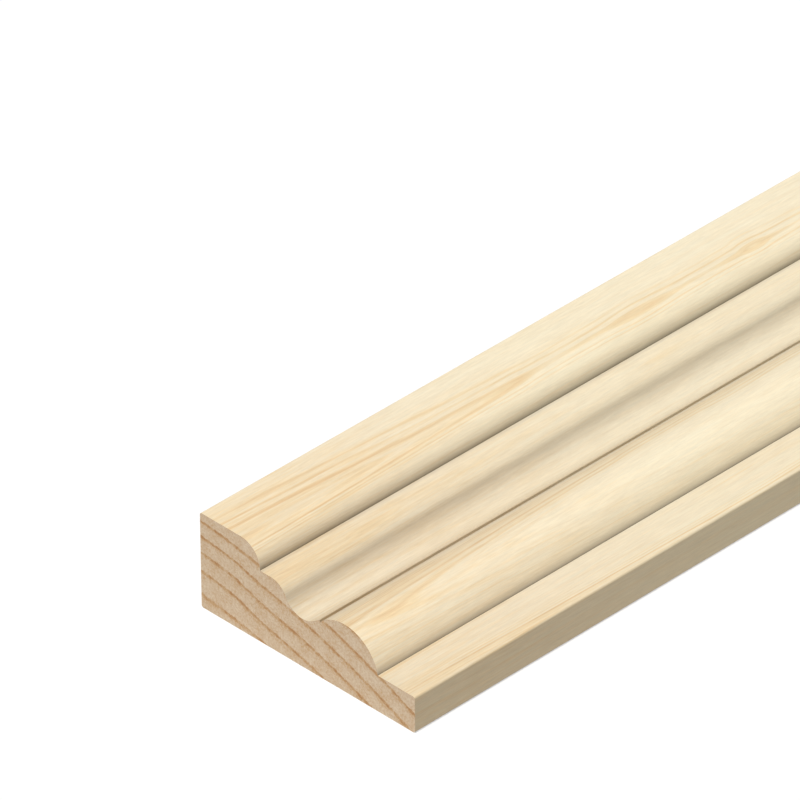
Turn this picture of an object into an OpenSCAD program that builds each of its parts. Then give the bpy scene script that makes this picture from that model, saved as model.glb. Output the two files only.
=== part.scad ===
// Barrel moulding: a length of planed softwood, run through a moulder in one pass.
// It lies on its flat back. The length runs along Y, the thin edge is at +X,
// and the origin is under the middle of the back.
// The members, from the thick edge to the thin edge, are a flat land, a quarter round,
// a narrow shelf that turns down in an ovolo, a cove, a small quirk, the barrel and a flat fillet.

/* [Stock] */
// Length of the piece as sold
length = 2400; // [300:50:3000]
// Width across the back
width = 34; // [30:0.5:60]
// Thickness at the thick edge
thick_edge = 13; // [12:0.1:18]
// Thickness at the thin edge, which is the height of the flat fillet
thin_edge = 4.9; // [2:0.1:6.5]
// Radius that takes the sharpness off the four outer arrises
arris_r = 0.3; // [0.1:0.05:0.8]

/* [Round at the thick edge] */
// Radius of the quarter round that ends the flat land
round_r = 3.1; // [1.5:0.1:4]
// Drop from the foot of the quarter round to the shelf
shelf_drop = 0.1; // [0.05:0.05:0.6]

/* [Shelf, ovolo and cove] */
// Flat part of the shelf, from the quarter round to the ovolo
shelf_w = 1.7; // [0.5:0.1:4]
// Radius of the ovolo that turns down from the shelf
ovolo_r = 2.6; // [1.5:0.1:4]
// Radius of the cove
cove_r = 2.9; // [2.2:0.1:3.8]
// Depth of the cove below the shelf
cove_depth = 3.2; // [2:0.1:4]
// How far the cove runs on past its lowest line, to the quirk
tail_w = 2.75; // [2.6:0.05:4]
// Slope of the straight tail that the cove ends in, in degrees
tail_angle = 34; // [20:1:42]

/* [Barrel] */
// Radius of the barrel
barrel_r = 5.3; // [4.5:0.05:6.5]
// How far the crown of the barrel lies below the shelf
crown_drop = 0.55; // [0:0.05:1.2]
// Drop of the quirk that parts the cove from the barrel
quirk_drop = 0.36; // [0.06:0.02:0.6]
// Width of the flat fillet, from the foot of the barrel to the thin edge
fillet_w = 5.8; // [2:0.1:9]

/* [Hidden] */
$fn = 96;
// Curves that run into each other lap by this much, so that they meet in an edge and not at a bare point
lap = 0.005;

// Heights of the members above the back
round_z = thick_edge - round_r;
shelf_z = round_z - shelf_drop;
ovolo_z = shelf_z - ovolo_r;
cove_z = shelf_z - cove_depth + cove_r;
barrel_z = shelf_z - crown_drop - barrel_r;

// The straight tail leaves the arc where the arc reaches its slope, and the barrel starts one quirk below it
arc_run = cove_r * sin(tail_angle);
arc_end_z = cove_z - cove_r * cos(tail_angle) + lap;
tail_z = arc_end_z + (tail_w - arc_run) * tan(tail_angle);
quirk_z = tail_z - quirk_drop;

// Places across the width are worked back from the thin edge; the land takes what is left
barrel_foot = thin_edge > barrel_z ? sqrt(pow(barrel_r, 2) - pow(thin_edge - barrel_z, 2)) : barrel_r;
barrel_x = width - fillet_w - barrel_foot;
quirk_x = barrel_x - sqrt(pow(barrel_r, 2) - pow(quirk_z - barrel_z, 2));
cove_x = quirk_x - tail_w;
// The ovolo and the cove run into each other with no step, so their centres are both radii apart
centres = ovolo_r + cove_r - lap;
ovolo_x = cove_x - sqrt(pow(centres, 2) - pow(cove_z - ovolo_z, 2));
round_x = ovolo_x - shelf_w - round_r;
// Height at which the ovolo turns into the cove
turn_z = ovolo_z + (cove_z - ovolo_z) * ovolo_r / centres;

// Takes the sharp corner at the origin off wood that lies towards +X and +Z
module arris() {
    difference() {
        translate([-arris_r, -arris_r]) square(2 * arris_r);
        translate([arris_r, arris_r]) circle(arris_r);
    }
}

// Land and quarter round
module thick_member() {
    square([round_x, thick_edge]);
    square([round_x + round_r, round_z]);
    translate([round_x, round_z]) circle(round_r);
}

// Shelf and ovolo
module shelf_member() {
    square([ovolo_x, shelf_z]);
    translate([ovolo_x, ovolo_z]) circle(ovolo_r);
}

// Wood under the cove, up to the ovolo on one side and to the quirk on the other
module cove_member() {
    difference() {
        union() {
            square([cove_x, turn_z]);
            translate([cove_x, 0])
                polygon([[0, 0], [tail_w, 0], [tail_w, tail_z], [arc_run, arc_end_z], [0, cove_z]]);
        }
        translate([cove_x, cove_z]) circle(cove_r);
    }
}

// Barrel on the flat fillet; its flank stands plumb where the fillet lies below its centre
module barrel_member() {
    square([width, thin_edge]);
    translate([barrel_x - barrel_r, 0]) square([2 * barrel_r, max(barrel_z, thin_edge)]);
    translate([barrel_x, barrel_z]) circle(barrel_r);
}

module section() {
    difference() {
        union() {
            thick_member();
            shelf_member();
            cove_member();
            barrel_member();
        }
        translate([0, -width]) square(width);
        arris();
        translate([width, 0]) mirror([1, 0]) arris();
        translate([0, thick_edge]) mirror([0, 1]) arris();
        translate([width, thin_edge]) rotate(180) arris();
    }
}

// Sawn square at both ends
module moulding() {
    color("wheat")
        translate([-width / 2, 0, 0])
            rotate([90, 0, 0])
                linear_extrude(height = length, center = true) section();
}

moulding();
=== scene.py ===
import math

import bpy
from mathutils import Matrix, Vector


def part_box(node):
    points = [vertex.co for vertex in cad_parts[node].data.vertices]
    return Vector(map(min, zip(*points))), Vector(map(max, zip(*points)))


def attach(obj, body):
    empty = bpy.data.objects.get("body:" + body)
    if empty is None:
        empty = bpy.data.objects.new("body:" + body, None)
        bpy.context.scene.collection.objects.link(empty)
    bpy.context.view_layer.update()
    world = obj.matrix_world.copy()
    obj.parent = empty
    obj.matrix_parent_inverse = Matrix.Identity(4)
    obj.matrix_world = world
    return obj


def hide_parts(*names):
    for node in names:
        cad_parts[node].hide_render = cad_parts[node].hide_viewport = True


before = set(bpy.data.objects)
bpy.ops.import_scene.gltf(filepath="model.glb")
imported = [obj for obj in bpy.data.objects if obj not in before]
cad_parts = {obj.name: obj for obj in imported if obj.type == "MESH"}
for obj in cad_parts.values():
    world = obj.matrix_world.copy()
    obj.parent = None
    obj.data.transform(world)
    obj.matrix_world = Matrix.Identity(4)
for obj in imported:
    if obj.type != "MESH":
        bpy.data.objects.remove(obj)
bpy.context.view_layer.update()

# Moulding: one length of bare pine, run through a moulder in one pass and sawn square at both ends.
# It is flat-sawn from a log whose pith lies far under the back, so the growth rings run as long
# flames on the planed faces and as brown lines across the sawn ends. It lies on its flat back.
mm = 0.001
low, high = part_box("moulding")
length = high.y - low.y
arris_r = 0.3 * mm
land_w, round_r = 6.506 * mm, 3.1 * mm
shelf_drop, shelf_w = 0.1 * mm, 1.7 * mm
ovolo_r, cove_r = 2.6 * mm, 2.9 * mm
cove_depth = 3.2 * mm
tail_w, tail_angle = 2.75 * mm, math.radians(34)
quirk_drop = 0.36 * mm
barrel_r, crown_drop = 5.3 * mm, 0.55 * mm
fillet_w, fillet_z = 5.8 * mm, 4.9 * mm
quarter = math.pi / 2
arc_step = math.radians(5)
smooth_up_to = math.radians(30)
weld_gap = 0.005 * mm

# Centres and corners of the members, each worked from its neighbour
round_x, round_z = low.x + land_w, high.z - round_r
shelf_z = round_z - shelf_drop
ovolo_x, ovolo_z = round_x + round_r + shelf_w, shelf_z - ovolo_r
cove_z = shelf_z - cove_depth + cove_r
centres = ovolo_r + cove_r
ovolo_turn = math.acos((cove_z - ovolo_z) / centres)
cove_x = ovolo_x + centres * math.sin(ovolo_turn)
quirk_x = cove_x + tail_w
barrel_z = shelf_z - crown_drop - barrel_r
foot_x = high.x - fillet_w
barrel_x = foot_x - math.sqrt(barrel_r**2 - (fillet_z - barrel_z) ** 2)

# The skin starts as the flat back. Its edge at the thick side is led round the section until it
# meets the other edge of the back, and the two open ends are then filled.
bpy.ops.object.select_all(action="DESELECT")
bpy.ops.mesh.primitive_plane_add(size=1)
moulding = bpy.context.object
moulding.name = "pine_moulding"
bpy.ops.object.mode_set(mode="EDIT")
bpy.ops.transform.resize(value=(high.x - low.x - 2 * arris_r, length, 1))
bpy.ops.mesh.select_all(action="DESELECT")
bpy.ops.mesh.select_mode(type="EDGE")
bpy.ops.object.mode_set(mode="OBJECT")
for edge in moulding.data.edges:
    edge.select = all(moulding.data.vertices[v].co.x < 0 for v in edge.vertices)
bpy.ops.object.mode_set(mode="EDIT")

cutter = Vector((low.x + arris_r, 0, 0))


def run_to(x, z):
    """Leads the edge straight to a place across the section."""
    step = Vector((x - cutter.x, 0, z - cutter.z))
    bpy.ops.mesh.extrude_edges_move(TRANSFORM_OT_translate={"value": step})
    cutter.x, cutter.z = x, z


def turn_about(x, z, angle):
    """Leads the edge round a centre line; a positive angle is clockwise from the near end."""
    steps = max(2, round(abs(angle) / arc_step))
    bpy.ops.mesh.spin(steps=steps, angle=angle, center=(x, 0, z), axis=(0, -1, 0))
    arm = Matrix.Rotation(angle, 3, "Y") @ Vector((cutter.x - x, 0, cutter.z - z))
    cutter.x, cutter.z = x + arm.x, z + arm.z


# Thick edge, land and quarter round
turn_about(low.x + arris_r, arris_r, quarter)
run_to(low.x, high.z - arris_r)
turn_about(low.x + arris_r, high.z - arris_r, quarter)
run_to(round_x, high.z)
turn_about(round_x, round_z, quarter)
run_to(round_x + round_r, shelf_z)
# Shelf, ovolo, cove and the cove's straight tail
run_to(ovolo_x, shelf_z)
turn_about(ovolo_x, ovolo_z, ovolo_turn)
turn_about(cove_x, cove_z, -(ovolo_turn + tail_angle))
tail_z = cutter.z + (quirk_x - cutter.x) * math.tan(tail_angle)
run_to(quirk_x, tail_z)
# Quirk and barrel
run_to(quirk_x, tail_z - quirk_drop)
barrel_start = math.atan2(cutter.x - barrel_x, cutter.z - barrel_z)
barrel_end = math.atan2(foot_x - barrel_x, fillet_z - barrel_z)
turn_about(barrel_x, barrel_z, barrel_end - barrel_start)
# Fillet and thin edge
run_to(high.x - arris_r, fillet_z)
turn_about(high.x - arris_r, fillet_z - arris_r, quarter)
run_to(high.x, arris_r)
turn_about(high.x - arris_r, arris_r, quarter)

bpy.ops.mesh.select_all(action="SELECT")
bpy.ops.mesh.remove_doubles(threshold=weld_gap)
bpy.ops.mesh.select_all(action="DESELECT")
bpy.ops.mesh.select_non_manifold()
bpy.ops.mesh.edge_face_add()
bpy.ops.mesh.select_all(action="SELECT")
bpy.ops.mesh.normals_make_consistent(inside=False)
bpy.ops.object.mode_set(mode="OBJECT")
bpy.ops.object.shade_smooth_by_angle(angle=smooth_up_to)
# The curves run into the flats with no change of shade on the flats
bpy.ops.object.modifier_add(type="WEIGHTED_NORMAL")
moulding.modifiers[-1].keep_sharp = True
bpy.ops.object.modifier_apply(modifier=moulding.modifiers[-1].name)


def add(tree, kind, wires=None, **settings):
    """Puts one node in a tree, sets it up and wires it."""
    fresh = tree.nodes.new("ShaderNode" + kind)
    for name, value in settings.items():
        setattr(fresh, name, value)
    for name, value in (wires or {}).items():
        if isinstance(value, bpy.types.NodeSocket):
            tree.links.new(value, fresh.inputs[name])
        else:
            fresh.inputs[name].default_value = value
    return fresh


def sum_of(tree, operation, first, *others):
    """Works out a sum of numbers or wires, taking them one after another."""
    for other in others:
        first = add(tree, "Math", {0: first, 1: other}, operation=operation).outputs[0]
    return first


def part_past_whole(tree, value):
    """Gives what is left of a number past the last whole one."""
    return add(tree, "Math", {0: value}, operation="FRACT").outputs[0]


def spread(tree, value, start, end, low_end=0.0, high_end=1.0):
    """Stretches an amount between two marks and holds it there."""
    return add(tree, "MapRange", {"Value": value, "From Min": start, "From Max": end,
                                  "To Min": low_end, "To Max": high_end}, clamp=True).outputs[0]


def cloud(tree, place, lumps, detail=2.0, roughness=0.5, shift=(0, 0, 0)):
    """Gives an uneven pattern from 0 to 1, with so many lumps to the mm along each axis."""
    scaled = add(tree, "Mapping", {"Vector": place, "Scale": lumps, "Location": shift}).outputs[0]
    return add(tree, "TexNoise", {"Vector": scaled, "Scale": 1.0, "Detail": detail,
                                  "Roughness": roughness}).outputs["Fac"]


def swing(tree, pattern, much):
    """Turns a pattern into an amount that swings about nought."""
    return sum_of(tree, "MULTIPLY", sum_of(tree, "SUBTRACT", pattern, 0.5), much)


def tint(red, green, blue):
    """Turns a colour as seen, from 0 to 255, into the colour as light."""
    return tuple(((c / 255 + 0.055) / 1.055) ** 2.4 for c in (red, green, blue)) + (1,)


def blend_of(tree, value, stops):
    """Gives the colour, or the grey, that stands at a value on a ramp."""
    ramp = add(tree, "ValToRGB", {"Fac": value})
    while len(ramp.color_ramp.elements) < len(stops):
        ramp.color_ramp.elements.new(0.5)
    for element, (at, colour) in zip(ramp.color_ramp.elements, stops):
        element.position = at
        element.color = colour if isinstance(colour, tuple) else (colour, colour, colour, 1)
    return ramp.outputs["Color"]


def stained(tree, colour, *stains):
    """Darkens a colour by one grey or colour after another."""
    for stain in stains:
        colour = add(tree, "Mix", {6: colour, 7: stain, 0: 1.0}, data_type="RGBA",
                     blend_type="MULTIPLY").outputs[2]
    return colour


def mm_from_thick_edge(x):
    """Gives a place across the section in mm from the thick edge."""
    return (x - low.x) / mm


# Growth rings, in mm from the foot of the thick edge at the near end. Each ring ends in orange late
# wood at a whole number, and the land, the barrel and most of the fillet lie beyond number 50.
ring_gap = 2.52
pith = (-10, 0, -90)
outer_limit, outer_limit_radius = 50, 102.44
wander_size, lean, ripple_size = 4.0, 0.004, 0.12
width = mm_from_thick_edge(high.x)
rings = bpy.data.node_groups.new("growth_rings", "ShaderNodeTree")
place_m = add(rings, "TexCoord").outputs["Object"]
place_mm = add(rings, "Mapping", {"Vector": place_m, "Scale": (1 / mm, 1 / mm, 1 / mm),
                                  "Location": (width / 2, length / 2 / mm, 0)}).outputs[0]
axes = add(rings, "SeparateXYZ", {0: place_mm})
across, run = axes.outputs["X"], axes.outputs["Y"]
part_across = sum_of(rings, "DIVIDE", across, width)
spoke = add(rings, "VectorMath", {0: place_mm, 1: pith}, operation="SUBTRACT").outputs[0]
spoke = add(rings, "VectorMath", {0: spoke, 1: (1, 0, 1)}, operation="MULTIPLY").outputs[0]
radius = add(rings, "VectorMath", {0: spoke}, operation="LENGTH").outputs["Value"]
# Over the first hand's breadth they swell out under the land and the fillet and sink under the
# barrel, twice as far
swell_along = ((0, 0), (12, 0.08), (24, 0.18), (36, 0.27), (43, 0.3), (47, 0.35), (57, 0.355),
               (60, 0.32), (63, 0.3), (66, 0.32), (70, 0.36), (79, 0.355), (82, 0.305),
               (85, 0.355), (140, 0.36))
swell_span = swell_along[-1][0]
swell = add(rings, "FloatCurve", {"Value": sum_of(rings, "DIVIDE", run, swell_span)})
points = swell.mapping.curves[0].points
points[0].location, points[1].location = swell_along[0], (1, swell_along[-1][1])
for at, much in swell_along[1:-1]:
    points.new(at / swell_span, much)
swell.mapping.update()
sides = blend_of(rings, part_across, ((0.37, 1.0), (0.44, 0.65), (0.5, 0.55), (0.6, 0), (0.82, 0),
                                      (0.87, 1.0)))
sides = sum_of(rings, "SUBTRACT", sum_of(rings, "MULTIPLY", sides, 3.0), 2.0)
swell = sum_of(rings, "MULTIPLY", swell.outputs[0], sides, spread(rings, run, 130, 330, 1.0, 0.0))
# Further on they lean out along the log and wander, and they ripple a little all along
wander = swing(rings, cloud(rings, place_mm, (0.02, 0.009, 0.02), 1.0), wander_size)
wander = sum_of(rings, "ADD", wander, sum_of(rings, "MULTIPLY", run, lean))
wander = sum_of(rings, "MULTIPLY", wander, spread(rings, run, 90, 190))
ripple = swing(rings, cloud(rings, place_mm, (0.5, 0.035, 0.5), 2.0, 0.55), ripple_size)
moved = sum_of(rings, "ADD", swell, wander, ripple)
ring = sum_of(rings, "SUBTRACT", radius, outer_limit_radius, moved)
ring = sum_of(rings, "ADD", sum_of(rings, "DIVIDE", ring, ring_gap), outer_limit)
# Under the land the inner rings stand higher, and the lowest of them is wider
lift = 0.29
lowest, highest = 45, 51
rings_lifted = ((46.02, 0), (46.98, 1.0), (48.48, 1.0), (49.2, 0.6), (49.92, 0))
lifted = blend_of(rings, spread(rings, ring, lowest, highest),
                  [((at - lowest) / (highest - lowest), much) for at, much in rings_lifted])
under_land = blend_of(rings, part_across, ((0, 1.0), (0.16, 0.95), (0.28, 0)))
ring = sum_of(rings, "SUBTRACT", ring, sum_of(rings, "MULTIPLY", lifted, under_land, lift))
group_out = rings.nodes.new("NodeGroupOutput")
for name, kind, wire in (("Place", "Vector", place_mm), ("Across", "Float", across),
                         ("Run", "Float", run), ("Ring", "Float", ring),
                         ("Part", "Float", part_past_whole(rings, ring))):
    rings.interface.new_socket(name, in_out="OUTPUT", socket_type="NodeSocket" + kind)
    rings.links.new(wire, group_out.inputs[name])


def wood_tree(name):
    """Starts a wood finish and gives it with its tree, its shader and its rings."""
    finish = bpy.data.materials.new(name)
    finish.use_nodes = True
    tree = finish.node_tree
    shown = add(tree, "Group")
    shown.node_tree = rings
    return finish, tree, tree.nodes["Principled BSDF"], shown.outputs


# Planed faces, bare from the cutters. Painted shade darkens their colour in the hollows, most of
# all at the foot of a steep flank; the shades are given at places in mm from the thick edge.
pine, tree, shader, grown = wood_tree("planed_pine")
part_across = sum_of(tree, "DIVIDE", grown["Across"], width)
foot_of_round = mm_from_thick_edge(round_x + round_r)
ovolo_wall = mm_from_thick_edge(ovolo_x) + 2.35
hollow = mm_from_thick_edge(cove_x)
quirk = mm_from_thick_edge(quirk_x)
foot_of_barrel = mm_from_thick_edge(foot_x)
# Painted shade across the section; the thin edge gets a darker, warmer painted shade
shade_across = (
    (0, 0.93), (5, 0.93), (6.8, 0.91), (8.8, 0.99), (foot_of_round, 0.99),
    (foot_of_round + 0.02, 0.67), (foot_of_round + 0.6, 0.83), (12.9, 0.89), (13.3, 0.84),
    (ovolo_wall, 0.67), (hollow - 1.4, 0.77), (hollow, 0.82), (quirk - 1.0, 0.78),
    (quirk - 0.35, 0.76), (quirk - 0.1, 0.66), (quirk, 0.58), (quirk + 0.2, 0.64),
    (quirk + 0.8, 0.72), (quirk + 1.5, 0.8), (quirk + 4, 0.88), (quirk + 6, 0.98),
    (foot_of_barrel, 0.98), (foot_of_barrel + 0.1, 0.76), (foot_of_barrel + 0.4, 0.82),
    (width - 0.4, 0.87), (width - 0.1, 0.9), (width, (0.83, 0.785, 0.69, 1)))
painted_shade = blend_of(tree, part_across, [(at / width, much) for at, much in shade_across])
# Painted shade down each steep flank, deepest at its foot
shade_up_a_flank = ((0, 0.31), (0.12, 0.54), (0.2, 0.62), (0.35, 0.74), (0.55, 0.86), (0.75, 0.95),
                    (1.0, 1.0))
height = add(tree, "SeparateXYZ", {0: grown["Place"]}).outputs["Z"]
painted_flank_shade = 1.0
for start, foot, ground, rise in ((6.5, foot_of_round, shelf_z / mm, 2),
                                  (quirk + 2, foot_of_barrel, fillet_z / mm, 1.4)):
    flank = blend_of(tree, spread(tree, height, ground, ground + rise), shade_up_a_flank)
    beside = sum_of(tree, "ADD", sum_of(tree, "GREATER_THAN", grown["Across"], foot + 0.01),
                    sum_of(tree, "LESS_THAN", grown["Across"], start))
    flank = sum_of(tree, "MAXIMUM", flank, sum_of(tree, "MINIMUM", beside, 1.0))
    painted_flank_shade = sum_of(tree, "MULTIPLY", painted_flank_shade, flank)
painted_shade = stained(tree, painted_shade, painted_flank_shade)
# The back gets none of the painted shade, only one even grey all over
back_top, back_shade = 0.05, (0.95, 0.95, 0.95, 1)
on_back = sum_of(tree, "LESS_THAN", height, back_top)
painted_shade = add(tree, "Mix", {6: painted_shade, 7: back_shade, 0: on_back}, data_type="RGBA").outputs[2]
# The outer ring holds fine false rings; in the inner ones the wood darkens evenly up to the late
# wood
lines_of_outer_ring = (
    (0, 0.65), (0.03, 0.06), (0.3, 0.04), (0.485, 0.06), (0.505, 0.5), (0.522, 0.1), (0.55, 0.1),
    (0.566, 0.65), (0.582, 0.15), (0.608, 0.12), (0.618, 0.6), (0.636, 1.0), (0.65, 0.25),
    (0.68, 0.2), (0.706, 0.45), (0.73, 0.22), (0.76, 0.42), (0.79, 0.2), (0.85, 0.25),
    (0.89, 0.7), (0.91, 0.35), (0.93, 0.12), (0.965, 0.14), (1.0, 0.65))
lines_of_inner_rings = ((0, 0.9), (0.04, 0.1), (0.5, 0.08), (0.7, 0.12), (0.77, 0.3), (0.88, 0.42),
                        (0.95, 0.6), (1.0, 0.9))
late = add(tree, "Mix", {0: sum_of(tree, "GREATER_THAN", grown["Ring"], outer_limit),
                         2: blend_of(tree, grown["Part"], lines_of_inner_rings),
                         3: blend_of(tree, grown["Part"], lines_of_outer_ring)}).outputs[0]
# The lines fade where the painted shade is deep, and on the outer flank of the barrel
lines_across = ((quirk, 1.0), (quirk + 5.3, 1.0), (quirk + 6.5, 0.3), (foot_of_barrel, 0.3),
                (foot_of_barrel + 0.5, 1.0), (width - 0.1, 1.0), (width, 0.3))
late = sum_of(tree, "MULTIPLY", late, spread(tree, painted_shade, 0.55, 0.8, 0.2, 1.0),
              spread(tree, painted_flank_shade, 0.8, 1.0),
              blend_of(tree, part_across, [(at / width, much) for at, much in lines_across]))
# Fine bands follow the rings, fibres run straight along the log, broad patches vary the whole, and
# resin shows next to the sawn end
bands_per_ring = 28.0
banded = add(tree, "CombineXYZ", {"X": sum_of(tree, "MULTIPLY", grown["Ring"], bands_per_ring),
                                  "Y": sum_of(tree, "MULTIPLY", grown["Run"], 0.03),
                                  "Z": sum_of(tree, "MULTIPLY", grown["Across"], 0.15)}).outputs[0]
bands = add(tree, "TexNoise", {"Vector": banded, "Scale": 1.0, "Detail": 3.0,
                               "Roughness": 0.6}).outputs["Fac"]
bands = spread(tree, bands, 0.4, 0.75)
streaks = spread(tree, cloud(tree, grown["Place"], (2.2, 0.12, 2.2), 4.0, 0.7), 0.3, 0.7)
broad = swing(tree, cloud(tree, grown["Place"], (0.15, 0.014, 0.15), 2.0, 0.5, (7, 3, 1)), 0.4)
resin = sum_of(tree, "MULTIPLY", spread(tree, grown["Run"], 2, 45, 1.0, 0.0),
               sum_of(tree, "ADD", bands, streaks))
tone = sum_of(tree, "MULTIPLY", late,
              sum_of(tree, "ADD", sum_of(tree, "MULTIPLY", bands, 0.35), 0.7))
tone = sum_of(tree, "ADD", tone, sum_of(tree, "MULTIPLY", bands, 0.17),
              sum_of(tree, "MULTIPLY", streaks, 0.26), broad,
              sum_of(tree, "MULTIPLY", resin, 0.18))
wood = blend_of(tree, tone, ((0.0, tint(253, 242, 212)), (0.3, tint(252, 236, 202)),
                             (0.6, tint(249, 226, 182)), (1.0, tint(239, 206, 157))))
# The painted shade in the hollows is made greyer than the wood, which has yellowed a little next to
# the sawn end and shows its cells as short pale and dark dashes
grey = blend_of(tree, painted_shade, ((0.3, 1.0), (0.5, (1, 1, 1.06, 1)), (0.75, (1, 1, 1.03, 1)),
                              (1.0, 1.0)))
aged = blend_of(tree, spread(tree, grown["Run"], 0, 50), ((0.4, (0.98, 0.958, 0.955, 1)),
                                                          (1.0, 1.0)))
cells = cloud(tree, grown["Place"], (3.6, 0.3, 3.6), 4.0, 0.8, (4, 9, 2))
# The wood's colour takes the painted shade, its grey, the yellowing and the cells
wood = stained(tree, wood, painted_shade, grey, aged, spread(tree, cells, 0.3, 0.7, 0.91, 1.055))
tree.links.new(wood, shader.inputs["Base Color"])
shader.inputs["Roughness"].default_value = 0.5
fibre = cloud(tree, grown["Place"], (3.5, 0.25, 3.5), 4.0, 0.7)
relief = add(tree, "Bump", {"Height": fibre, "Strength": 0.5, "Distance": 0.04 * mm})
tree.links.new(relief.outputs[0], shader.inputs["Normal"])

# Sawn ends, cut across the open cells, so they are darker and rougher than the planed faces. The
# saw breaks up the brown lines of late wood.
sawn, tree, shader, grown = wood_tree("sawn_end_grain")
wavy = swing(tree, cloud(tree, grown["Place"], (1.6, 0.1, 1.6), 3.0, 0.6, (5, 2, 6)), 0.2)
part = part_past_whole(tree, sum_of(tree, "ADD", grown["Ring"], wavy))
late = blend_of(tree, part, ((0, 1.0), (0.06, 0.0), (0.6, 0.0), (0.84, 0.3), (0.92, 1.0),
                             (1.0, 1.0)))
speck = cloud(tree, grown["Place"], (3.0, 0.5, 3.0), 4.0, 0.85)
mottle = cloud(tree, grown["Place"], (0.6, 0.1, 0.6), 2.0, 0.5, (3, 5, 8))
uneven = cloud(tree, grown["Place"], (0.9, 0.1, 0.9), 3.0, 0.7)
uneven = spread(tree, uneven, 0.38, 0.62, 0.35, 1.0)
tone = sum_of(tree, "ADD", sum_of(tree, "MULTIPLY", late, uneven, 0.75), 0.25,
              swing(tree, speck, 2.0), swing(tree, mottle, 0.6))
wood = blend_of(tree, tone, ((0.0, tint(229, 208, 180)), (0.25, tint(218, 192, 160)),
                             (0.6, tint(205, 167, 122)), (1.0, tint(184, 134, 84))))
tree.links.new(wood, shader.inputs["Base Color"])
shader.inputs["Roughness"].default_value = 0.75
relief = add(tree, "Bump", {"Height": speck, "Strength": 0.6, "Distance": 0.08 * mm})
tree.links.new(relief.outputs[0], shader.inputs["Normal"])

moulding.data.materials.append(pine)
moulding.data.materials.append(sawn)
for face in moulding.data.polygons:
    face.material_index = 1 if abs(face.normal.y) > 0.5 else 0
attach(moulding, "root")
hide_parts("moulding")

# Floor: a plain pale sheet on which the moulding lies.
# It shows white to the camera where no shadow falls, and keeps the object's shadow.
floor_size, floor_drop = 400, 0.05 * mm
floor_grey = (0.5, 0.5, 0.5, 1)
bpy.ops.object.select_all(action="DESELECT")
bpy.ops.mesh.primitive_plane_add(size=floor_size, location=(0, 0, low.z - floor_drop))
floor = bpy.context.object
floor.name = "floor"
paint = bpy.data.materials.new("pale_floor")
paint.use_nodes = True
tree = paint.node_tree
tree.nodes.clear()


def seen(tree):
    """Gives 1 for what the camera or a gloss sees, and 0 for light that falls on the object."""
    path = add(tree, "LightPath").outputs
    return sum_of(tree, "MAXIMUM", path["Is Camera Ray"], path["Is Glossy Ray"])


matt = add(tree, "BsdfDiffuse", {"Color": floor_grey})
glow = add(tree, "Emission", {"Color": floor_grey, "Strength": seen(tree)})
both = add(tree, "AddShader", {0: matt.outputs[0], 1: glow.outputs[0]})
add(tree, "OutputMaterial", {"Surface": both.outputs[0]})
floor.data.materials.append(paint)

# Studio light: one broad soft light overhead, a little towards the thin edge and the near end, and
# a weak even fill from all round, which shows as white behind the object.
sun_strength, sun_spread = 3.5, math.radians(30)
sun_side = Vector((0.14, -0.5, 1))
fill, white = 0.08, 1.0
sun_data = bpy.data.lights.new("overhead", "SUN")
sun_data.energy = sun_strength
sun_data.angle = sun_spread
sun = bpy.data.objects.new("overhead", sun_data)
bpy.context.scene.collection.objects.link(sun)
sun.rotation_euler = sun_side.to_track_quat("Z", "Y").to_euler()
world = bpy.data.worlds.new("studio")
bpy.context.scene.world = world
world.use_nodes = True
tree = world.node_tree
tree.nodes.clear()
background = add(tree, "Background", {"Strength": spread(tree, seen(tree), 0, 1, fill, white)})
add(tree, "OutputWorld", {"Surface": background.outputs[0]})

# Camera: a long lens from above the near end, which gives the photo's slight convergence of the
# long arrises. It stands where the lowest near corner of the thin edge falls on its own pixel.
azimuth, elevation = math.radians(45.504), math.radians(34.768)
roll = math.radians(-0.440)
lens, film = 516.6 * mm, 36 * mm
distance = 1269.5 * mm
picture_px = 800
corner_px = Vector((415.04, 733.26))
near_corner = Vector((high.x, low.y, low.z))
outward = Vector((math.sin(azimuth) * math.cos(elevation),
                  -math.cos(azimuth) * math.cos(elevation), math.sin(elevation)))
rightward = Vector((math.cos(azimuth), math.sin(azimuth), 0))
upward = outward.cross(rightward)
rolled = Matrix.Rotation(roll, 3, outward)
rightward, upward = rolled @ rightward, rolled @ upward
lens_px = lens / film * picture_px
aside = (corner_px.x - picture_px / 2) / lens_px * distance
above = (picture_px / 2 - corner_px.y) / lens_px * distance
stand = near_corner - aside * rightward - above * upward + distance * outward
camera_data = bpy.data.cameras.new("camera")
camera_data.lens, camera_data.sensor_width = lens / mm, film / mm
camera_data.clip_start, camera_data.clip_end = 0.05, 1000
camera = bpy.data.objects.new("camera", camera_data)
bpy.context.scene.collection.objects.link(camera)
turned = Matrix((rightward, upward, outward)).transposed()
camera.matrix_world = Matrix.Translation(stand) @ turned.to_4x4()
bpy.context.scene.camera = camera

bpy.context.scene.view_settings.view_transform = "Standard"
